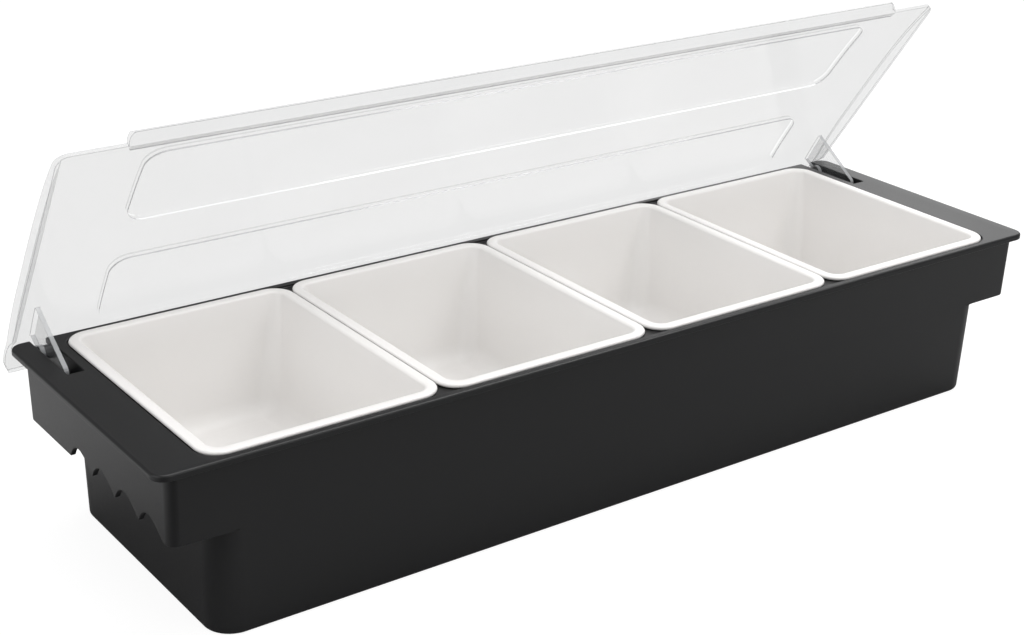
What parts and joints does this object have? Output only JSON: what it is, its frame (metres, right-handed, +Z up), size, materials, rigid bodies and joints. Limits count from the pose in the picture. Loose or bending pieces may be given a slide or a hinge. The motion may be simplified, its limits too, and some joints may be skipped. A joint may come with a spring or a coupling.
{
  "type": "condiment caddy with flip lid",
  "caption": "Long moulded bar caddy that holds a row of tilt-out food pans over an ice well, under one clear flip lid hinged along its back.",
  "frame": {"origin": "middle of the housing's underside, on the surface that it stands on", "axes": "+X along the row of pans, +Y towards the hinge side, +Z up"},
  "size_m": [0.495, 0.1634, 0.1952],
  "materials": {
    "black_shell": "black moulded plastic, satin",
    "white_pan": "white moulded plastic, semi-gloss",
    "clear_lid": "clear moulded plastic, glossy"
  },
  "bodies": {
    "base": {"housing": "black_shell"},
    "lid": {"lid": "clear_lid"},
    "pan_1": {"pan_1": "white_pan"},
    "pan_2": {"pan_2": "white_pan"},
    "pan_3": {"pan_3": "white_pan"},
    "pan_4": {"pan_4": "white_pan"}
  },
  "joints": [
    {"name": "lid_hinge", "type": "hinge", "parent": "base", "child": "lid", "pos_m": [0, 0.06225, 0.0649], "axis": [-1, 0, 0], "range_deg": [-55.4, 0]},
    {"name": "pan_1_tilt", "type": "hinge", "parent": "base", "child": "pan_1", "pos_m": [-0.1686, 0.07, 0.0843], "axis": [-1, 0, 0], "range_deg": [0, 45]},
    {"name": "pan_2_tilt", "type": "hinge", "parent": "base", "child": "pan_2", "pos_m": [-0.0562, 0.07, 0.0843], "axis": [-1, 0, 0], "range_deg": [0, 45]},
    {"name": "pan_3_tilt", "type": "hinge", "parent": "base", "child": "pan_3", "pos_m": [0.0562, 0.07, 0.0843], "axis": [-1, 0, 0], "range_deg": [0, 45]},
    {"name": "pan_4_tilt", "type": "hinge", "parent": "base", "child": "pan_4", "pos_m": [0.1686, 0.07, 0.0843], "axis": [-1, 0, 0], "range_deg": [0, 45]}
  ]
}
